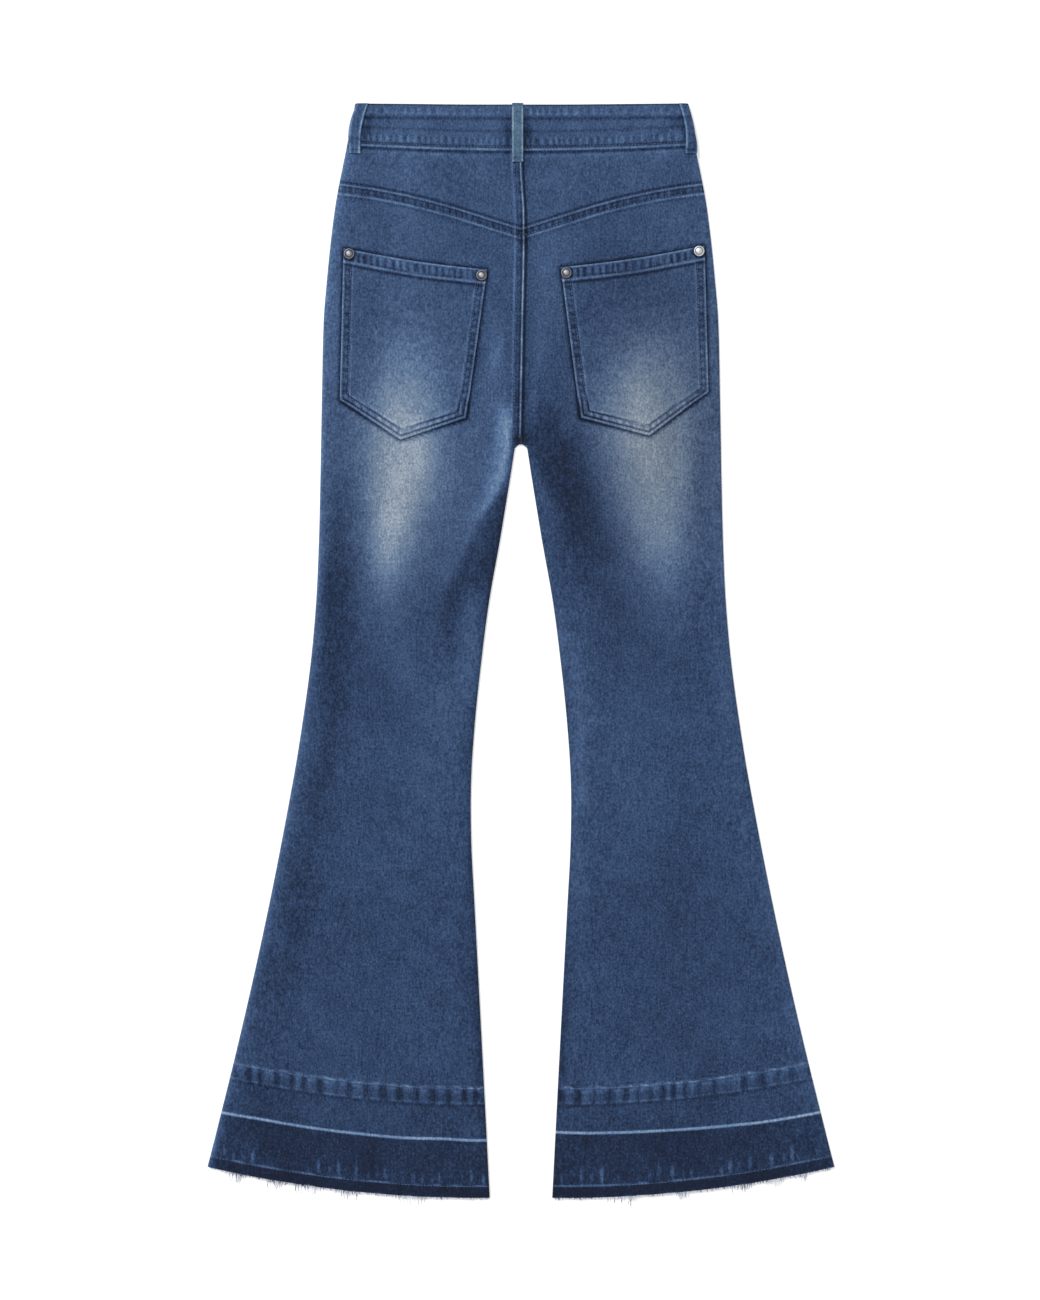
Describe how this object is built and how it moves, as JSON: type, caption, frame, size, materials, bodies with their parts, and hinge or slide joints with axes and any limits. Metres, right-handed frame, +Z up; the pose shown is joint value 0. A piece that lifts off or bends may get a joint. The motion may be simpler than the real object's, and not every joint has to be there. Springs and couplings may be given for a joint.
{
  "type": "flared jeans",
  "caption": "Women's flared jeans laid flat, back side up: faded denim, yoke, back pockets with rivets, belt loops and frayed let-down hems.",
  "frame": {"origin": "on the surface that the jeans lie on, under the middle of their bounding box", "axes": "+X across the garment towards the wearer's right side, +Y from the hems to the waist, +Z up through the cloth"},
  "size_m": [0.644, 1.1251, 0.0123],
  "materials": {
    "denim": "faded indigo twill",
    "dark_denim": "unfaded indigo twill",
    "loop_denim": "worn light twill",
    "fray_threads": "loose cotton ends",
    "old_silver": "antique silver",
    "zip_tape": "woven tape"
  },
  "bodies": {
    "root": {"yoke_left": "denim", "back_leg_left": "denim", "front_leg_left": "denim", "front_pocket_facing_left": "denim", "waistband_front_left": "denim", "back_pocket_left": "denim", "hem_back_left": "dark_denim", "hem_front_left": "dark_denim", "belt_loop_front_left": "loop_denim", "belt_loop_side_left": "loop_denim", "hem_fray_left": "fray_threads", "rivet_left_outer": "old_silver", "rivet_left_inner": "old_silver", "yoke_right": "denim", "back_leg_right": "denim", "front_leg_right": "denim", "front_pocket_facing_right": "denim", "waistband_front_right": "denim", "back_pocket_right": "denim", "hem_back_right": "dark_denim", "hem_front_right": "dark_denim", "belt_loop_front_right": "loop_denim", "belt_loop_side_right": "loop_denim", "hem_fray_right": "fray_threads", "rivet_right_outer": "old_silver", "rivet_right_inner": "old_silver", "waistband_back": "denim", "belt_loop_centre": "loop_denim", "fly": "denim", "zip": "zip_tape", "button": "old_silver"}
  },
  "joints": []
}
